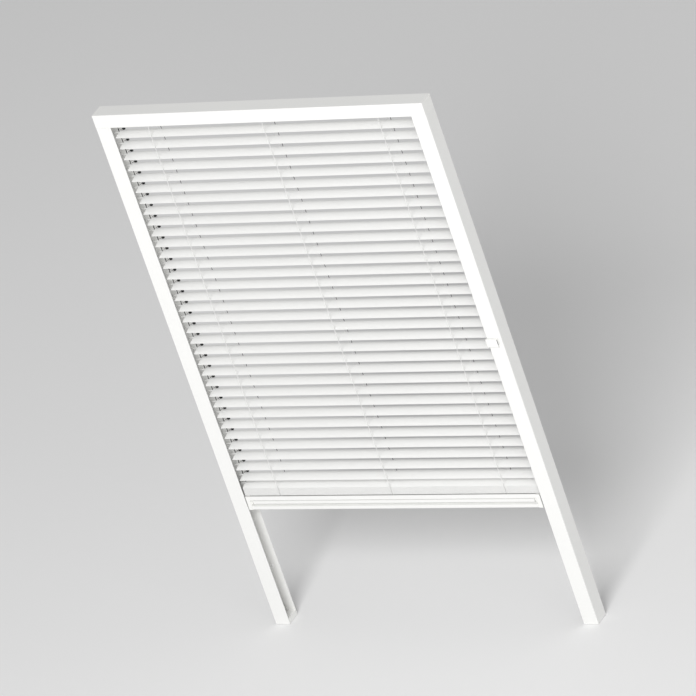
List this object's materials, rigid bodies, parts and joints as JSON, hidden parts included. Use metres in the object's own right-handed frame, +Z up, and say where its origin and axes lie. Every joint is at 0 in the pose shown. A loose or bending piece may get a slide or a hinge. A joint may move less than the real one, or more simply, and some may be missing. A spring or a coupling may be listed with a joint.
{
  "type": "venetian blinds",
  "caption": "White aluminium venetian blind for a roof window, with side channels, a headrail, ladder cords, a ridged bottom bar and a tilt slider on the right channel.",
  "frame": {"origin": "centre of the headrail's back face, midway between its two screw holes", "axes": "+X to the right seen from the room, +Y towards the glass, +Z up the window"},
  "size_m": [0.62, 0.0343, 1.007],
  "materials": {
    "lacquered_profile": "satin",
    "lacquered_slat": "satin",
    "white_plastic": "satin",
    "rod_steel": "satin",
    "pale_cord": "matte",
    "dark_cord": "matte"
  },
  "bodies": {
    "frame": {"headrail": "lacquered_profile", "headrail_cover": "lacquered_profile", "corner_blocks": "white_plastic", "side_channel_left": "lacquered_profile", "side_channel_right": "lacquered_profile", "channel_feet": "white_plastic", "drum_cradles": "white_plastic", "ladder_cords": "pale_cord", "lift_cords": "dark_cord", "edge_cords": "dark_cord", "tilt_cord": "pale_cord"},
    "tilt_slider": {"tilt_slider": "white_plastic"},
    "tilt_shaft": {"tilt_rod": "rod_steel", "tilt_drums": "white_plastic", "tilt_pulley": "white_plastic"},
    "bar": {"bottom_bar": "lacquered_profile", "bar_end_caps": "white_plastic"},
    "slat_01": {"slat_01": "lacquered_slat"},
    "slat_02": {"slat_02": "lacquered_slat"},
    "slat_03": {"slat_03": "lacquered_slat"},
    "slat_04": {"slat_04": "lacquered_slat"},
    "slat_05": {"slat_05": "lacquered_slat"},
    "slat_06": {"slat_06": "lacquered_slat"},
    "slat_07": {"slat_07": "lacquered_slat"},
    "slat_08": {"slat_08": "lacquered_slat"},
    "slat_09": {"slat_09": "lacquered_slat"},
    "slat_10": {"slat_10": "lacquered_slat"},
    "slat_11": {"slat_11": "lacquered_slat"},
    "slat_12": {"slat_12": "lacquered_slat"},
    "slat_13": {"slat_13": "lacquered_slat"},
    "slat_14": {"slat_14": "lacquered_slat"},
    "slat_15": {"slat_15": "lacquered_slat"},
    "slat_16": {"slat_16": "lacquered_slat"},
    "slat_17": {"slat_17": "lacquered_slat"},
    "slat_18": {"slat_18": "lacquered_slat"},
    "slat_19": {"slat_19": "lacquered_slat"},
    "slat_20": {"slat_20": "lacquered_slat"},
    "slat_21": {"slat_21": "lacquered_slat"},
    "slat_22": {"slat_22": "lacquered_slat"},
    "slat_23": {"slat_23": "lacquered_slat"},
    "slat_24": {"slat_24": "lacquered_slat"},
    "slat_25": {"slat_25": "lacquered_slat"},
    "slat_26": {"slat_26": "lacquered_slat"},
    "slat_27": {"slat_27": "lacquered_slat"},
    "slat_28": {"slat_28": "lacquered_slat"},
    "slat_29": {"slat_29": "lacquered_slat"},
    "slat_30": {"slat_30": "lacquered_slat"},
    "slat_31": {"slat_31": "lacquered_slat"},
    "slat_32": {"slat_32": "lacquered_slat"},
    "slat_33": {"slat_33": "lacquered_slat"},
    "gathered_slat_01": {"gathered_slat_01": "lacquered_slat"},
    "gathered_slat_02": {"gathered_slat_02": "lacquered_slat"},
    "gathered_slat_03": {"gathered_slat_03": "lacquered_slat"},
    "gathered_slat_04": {"gathered_slat_04": "lacquered_slat"},
    "gathered_slat_05": {"gathered_slat_05": "lacquered_slat"},
    "gathered_slat_06": {"gathered_slat_06": "lacquered_slat"},
    "gathered_slat_07": {"gathered_slat_07": "lacquered_slat"},
    "gathered_slat_08": {"gathered_slat_08": "lacquered_slat"},
    "gathered_slat_09": {"gathered_slat_09": "lacquered_slat"},
    "gathered_slat_10": {"gathered_slat_10": "lacquered_slat"}
  },
  "joints": [
    {"name": "tilt_slide", "type": "slide", "parent": "frame", "child": "tilt_slider", "axis": [0, 0, 1], "range_m": [-0.0087, 0.0095]},
    {"name": "tilt_shaft_turn", "type": "hinge", "parent": "frame", "child": "tilt_shaft", "pos_m": [0, -0.0154, 0], "axis": [-1, 0, 0], "range_deg": [-65, 71]},
    {"name": "slat_01_tilt", "type": "hinge", "parent": "frame", "child": "slat_01", "pos_m": [0, -0.0154, -0.03235], "axis": [-1, 0, 0], "range_deg": [-65, 71]},
    {"name": "slat_02_tilt", "type": "hinge", "parent": "frame", "child": "slat_02", "pos_m": [0, -0.0154, -0.05335], "axis": [-1, 0, 0], "range_deg": [-65, 71]},
    {"name": "slat_03_tilt", "type": "hinge", "parent": "frame", "child": "slat_03", "pos_m": [0, -0.0154, -0.07435], "axis": [-1, 0, 0], "range_deg": [-65, 71]},
    {"name": "slat_04_tilt", "type": "hinge", "parent": "frame", "child": "slat_04", "pos_m": [0, -0.0154, -0.09535], "axis": [-1, 0, 0], "range_deg": [-65, 71]},
    {"name": "slat_05_tilt", "type": "hinge", "parent": "frame", "child": "slat_05", "pos_m": [0, -0.0154, -0.11635], "axis": [-1, 0, 0], "range_deg": [-65, 71]},
    {"name": "slat_06_tilt", "type": "hinge", "parent": "frame", "child": "slat_06", "pos_m": [0, -0.0154, -0.13735], "axis": [-1, 0, 0], "range_deg": [-65, 71]},
    {"name": "slat_07_tilt", "type": "hinge", "parent": "frame", "child": "slat_07", "pos_m": [0, -0.0154, -0.15835], "axis": [-1, 0, 0], "range_deg": [-65, 71]},
    {"name": "slat_08_tilt", "type": "hinge", "parent": "frame", "child": "slat_08", "pos_m": [0, -0.0154, -0.17935], "axis": [-1, 0, 0], "range_deg": [-65, 71]},
    {"name": "slat_09_tilt", "type": "hinge", "parent": "frame", "child": "slat_09", "pos_m": [0, -0.0154, -0.20035], "axis": [-1, 0, 0], "range_deg": [-65, 71]},
    {"name": "slat_10_tilt", "type": "hinge", "parent": "frame", "child": "slat_10", "pos_m": [0, -0.0154, -0.22135], "axis": [-1, 0, 0], "range_deg": [-65, 71]},
    {"name": "slat_11_tilt", "type": "hinge", "parent": "frame", "child": "slat_11", "pos_m": [0, -0.0154, -0.24235], "axis": [-1, 0, 0], "range_deg": [-65, 71]},
    {"name": "slat_12_tilt", "type": "hinge", "parent": "frame", "child": "slat_12", "pos_m": [0, -0.0154, -0.26335], "axis": [-1, 0, 0], "range_deg": [-65, 71]},
    {"name": "slat_13_tilt", "type": "hinge", "parent": "frame", "child": "slat_13", "pos_m": [0, -0.0154, -0.28435], "axis": [-1, 0, 0], "range_deg": [-65, 71]},
    {"name": "slat_14_tilt", "type": "hinge", "parent": "frame", "child": "slat_14", "pos_m": [0, -0.0154, -0.30535], "axis": [-1, 0, 0], "range_deg": [-65, 71]},
    {"name": "slat_15_tilt", "type": "hinge", "parent": "frame", "child": "slat_15", "pos_m": [0, -0.0154, -0.32635], "axis": [-1, 0, 0], "range_deg": [-65, 71]},
    {"name": "slat_16_tilt", "type": "hinge", "parent": "frame", "child": "slat_16", "pos_m": [0, -0.0154, -0.34735], "axis": [-1, 0, 0], "range_deg": [-65, 71]},
    {"name": "slat_17_tilt", "type": "hinge", "parent": "frame", "child": "slat_17", "pos_m": [0, -0.0154, -0.36835], "axis": [-1, 0, 0], "range_deg": [-65, 71]},
    {"name": "slat_18_tilt", "type": "hinge", "parent": "frame", "child": "slat_18", "pos_m": [0, -0.0154, -0.38935], "axis": [-1, 0, 0], "range_deg": [-65, 71]},
    {"name": "slat_19_tilt", "type": "hinge", "parent": "frame", "child": "slat_19", "pos_m": [0, -0.0154, -0.41035], "axis": [-1, 0, 0], "range_deg": [-65, 71]},
    {"name": "slat_20_tilt", "type": "hinge", "parent": "frame", "child": "slat_20", "pos_m": [0, -0.0154, -0.43135], "axis": [-1, 0, 0], "range_deg": [-65, 71]},
    {"name": "slat_21_tilt", "type": "hinge", "parent": "frame", "child": "slat_21", "pos_m": [0, -0.0154, -0.45235], "axis": [-1, 0, 0], "range_deg": [-65, 71]},
    {"name": "slat_22_tilt", "type": "hinge", "parent": "frame", "child": "slat_22", "pos_m": [0, -0.0154, -0.47335], "axis": [-1, 0, 0], "range_deg": [-65, 71]},
    {"name": "slat_23_tilt", "type": "hinge", "parent": "frame", "child": "slat_23", "pos_m": [0, -0.0154, -0.49435], "axis": [-1, 0, 0], "range_deg": [-65, 71]},
    {"name": "slat_24_tilt", "type": "hinge", "parent": "frame", "child": "slat_24", "pos_m": [0, -0.0154, -0.51535], "axis": [-1, 0, 0], "range_deg": [-65, 71]},
    {"name": "slat_25_tilt", "type": "hinge", "parent": "frame", "child": "slat_25", "pos_m": [0, -0.0154, -0.53635], "axis": [-1, 0, 0], "range_deg": [-65, 71]},
    {"name": "slat_26_tilt", "type": "hinge", "parent": "frame", "child": "slat_26", "pos_m": [0, -0.0154, -0.55735], "axis": [-1, 0, 0], "range_deg": [-65, 71]},
    {"name": "slat_27_tilt", "type": "hinge", "parent": "frame", "child": "slat_27", "pos_m": [0, -0.0154, -0.57835], "axis": [-1, 0, 0], "range_deg": [-65, 71]},
    {"name": "slat_28_tilt", "type": "hinge", "parent": "frame", "child": "slat_28", "pos_m": [0, -0.0154, -0.59935], "axis": [-1, 0, 0], "range_deg": [-65, 71]},
    {"name": "slat_29_tilt", "type": "hinge", "parent": "frame", "child": "slat_29", "pos_m": [0, -0.0154, -0.62035], "axis": [-1, 0, 0], "range_deg": [-65, 71]},
    {"name": "slat_30_tilt", "type": "hinge", "parent": "frame", "child": "slat_30", "pos_m": [0, -0.0154, -0.64135], "axis": [-1, 0, 0], "range_deg": [-65, 71]},
    {"name": "slat_31_tilt", "type": "hinge", "parent": "frame", "child": "slat_31", "pos_m": [0, -0.0154, -0.66235], "axis": [-1, 0, 0], "range_deg": [-65, 71]},
    {"name": "slat_32_tilt", "type": "hinge", "parent": "frame", "child": "slat_32", "pos_m": [0, -0.0154, -0.68335], "axis": [-1, 0, 0], "range_deg": [-65, 71]},
    {"name": "slat_33_tilt", "type": "hinge", "parent": "frame", "child": "slat_33", "pos_m": [0, -0.0154, -0.70435], "axis": [-1, 0, 0], "range_deg": [-65, 71]},
    {"name": "bar_slide", "type": "slide", "parent": "frame", "child": "bar", "axis": [0, 0, -1], "range_m": [0, 0.2], "deforming": ["ladder_cords", "lift_cords", "edge_cords"]},
    {"name": "gathered_slat_01_slide", "type": "slide", "parent": "frame", "child": "gathered_slat_01", "axis": [0, 0, -1], "range_m": [0, 0.0061]},
    {"name": "gathered_slat_02_slide", "type": "slide", "parent": "frame", "child": "gathered_slat_02", "axis": [0, 0, -1], "range_m": [0, 0.0255]},
    {"name": "gathered_slat_03_slide", "type": "slide", "parent": "frame", "child": "gathered_slat_03", "axis": [0, 0, -1], "range_m": [0, 0.0449]},
    {"name": "gathered_slat_04_slide", "type": "slide", "parent": "frame", "child": "gathered_slat_04", "axis": [0, 0, -1], "range_m": [0, 0.0643]},
    {"name": "gathered_slat_05_slide", "type": "slide", "parent": "frame", "child": "gathered_slat_05", "axis": [0, 0, -1], "range_m": [0, 0.0837]},
    {"name": "gathered_slat_06_slide", "type": "slide", "parent": "frame", "child": "gathered_slat_06", "axis": [0, 0, -1], "range_m": [0, 0.1031]},
    {"name": "gathered_slat_07_slide", "type": "slide", "parent": "frame", "child": "gathered_slat_07", "axis": [0, 0, -1], "range_m": [0, 0.1225]},
    {"name": "gathered_slat_08_slide", "type": "slide", "parent": "frame", "child": "gathered_slat_08", "axis": [0, 0, -1], "range_m": [0, 0.1419]},
    {"name": "gathered_slat_09_slide", "type": "slide", "parent": "frame", "child": "gathered_slat_09", "axis": [0, 0, -1], "range_m": [0, 0.1613]},
    {"name": "gathered_slat_10_slide", "type": "slide", "parent": "frame", "child": "gathered_slat_10", "axis": [0, 0, -1], "range_m": [0, 0.1807]}
  ],
  "couplings": [
    {"joint": "tilt_shaft_turn", "follows": "tilt_slide", "rad_per_m": 130.21},
    {"joint": "slat_01_tilt", "follows": "tilt_slide", "rad_per_m": 130.21},
    {"joint": "slat_02_tilt", "follows": "tilt_slide", "rad_per_m": 130.21},
    {"joint": "slat_03_tilt", "follows": "tilt_slide", "rad_per_m": 130.21},
    {"joint": "slat_04_tilt", "follows": "tilt_slide", "rad_per_m": 130.21},
    {"joint": "slat_05_tilt", "follows": "tilt_slide", "rad_per_m": 130.21},
    {"joint": "slat_06_tilt", "follows": "tilt_slide", "rad_per_m": 130.21},
    {"joint": "slat_07_tilt", "follows": "tilt_slide", "rad_per_m": 130.21},
    {"joint": "slat_08_tilt", "follows": "tilt_slide", "rad_per_m": 130.21},
    {"joint": "slat_09_tilt", "follows": "tilt_slide", "rad_per_m": 130.21},
    {"joint": "slat_10_tilt", "follows": "tilt_slide", "rad_per_m": 130.21},
    {"joint": "slat_11_tilt", "follows": "tilt_slide", "rad_per_m": 130.21},
    {"joint": "slat_12_tilt", "follows": "tilt_slide", "rad_per_m": 130.21},
    {"joint": "slat_13_tilt", "follows": "tilt_slide", "rad_per_m": 130.21},
    {"joint": "slat_14_tilt", "follows": "tilt_slide", "rad_per_m": 130.21},
    {"joint": "slat_15_tilt", "follows": "tilt_slide", "rad_per_m": 130.21},
    {"joint": "slat_16_tilt", "follows": "tilt_slide", "rad_per_m": 130.21},
    {"joint": "slat_17_tilt", "follows": "tilt_slide", "rad_per_m": 130.21},
    {"joint": "slat_18_tilt", "follows": "tilt_slide", "rad_per_m": 130.21},
    {"joint": "slat_19_tilt", "follows": "tilt_slide", "rad_per_m": 130.21},
    {"joint": "slat_20_tilt", "follows": "tilt_slide", "rad_per_m": 130.21},
    {"joint": "slat_21_tilt", "follows": "tilt_slide", "rad_per_m": 130.21},
    {"joint": "slat_22_tilt", "follows": "tilt_slide", "rad_per_m": 130.21},
    {"joint": "slat_23_tilt", "follows": "tilt_slide", "rad_per_m": 130.21},
    {"joint": "slat_24_tilt", "follows": "tilt_slide", "rad_per_m": 130.21},
    {"joint": "slat_25_tilt", "follows": "tilt_slide", "rad_per_m": 130.21},
    {"joint": "slat_26_tilt", "follows": "tilt_slide", "rad_per_m": 130.21},
    {"joint": "slat_27_tilt", "follows": "tilt_slide", "rad_per_m": 130.21},
    {"joint": "slat_28_tilt", "follows": "tilt_slide", "rad_per_m": 130.21},
    {"joint": "slat_29_tilt", "follows": "tilt_slide", "rad_per_m": 130.21},
    {"joint": "slat_30_tilt", "follows": "tilt_slide", "rad_per_m": 130.21},
    {"joint": "slat_31_tilt", "follows": "tilt_slide", "rad_per_m": 130.21},
    {"joint": "slat_32_tilt", "follows": "tilt_slide", "rad_per_m": 130.21},
    {"joint": "slat_33_tilt", "follows": "tilt_slide", "rad_per_m": 130.21},
    {"joint": "gathered_slat_01_slide", "follows": "bar_slide", "ratio": 0.028},
    {"joint": "gathered_slat_02_slide", "follows": "bar_slide", "ratio": 0.125},
    {"joint": "gathered_slat_03_slide", "follows": "bar_slide", "ratio": 0.222},
    {"joint": "gathered_slat_04_slide", "follows": "bar_slide", "ratio": 0.319},
    {"joint": "gathered_slat_05_slide", "follows": "bar_slide", "ratio": 0.416},
    {"joint": "gathered_slat_06_slide", "follows": "bar_slide", "ratio": 0.513},
    {"joint": "gathered_slat_07_slide", "follows": "bar_slide", "ratio": 0.61},
    {"joint": "gathered_slat_08_slide", "follows": "bar_slide", "ratio": 0.707},
    {"joint": "gathered_slat_09_slide", "follows": "bar_slide", "ratio": 0.804},
    {"joint": "gathered_slat_10_slide", "follows": "bar_slide", "ratio": 0.901}
  ]
}
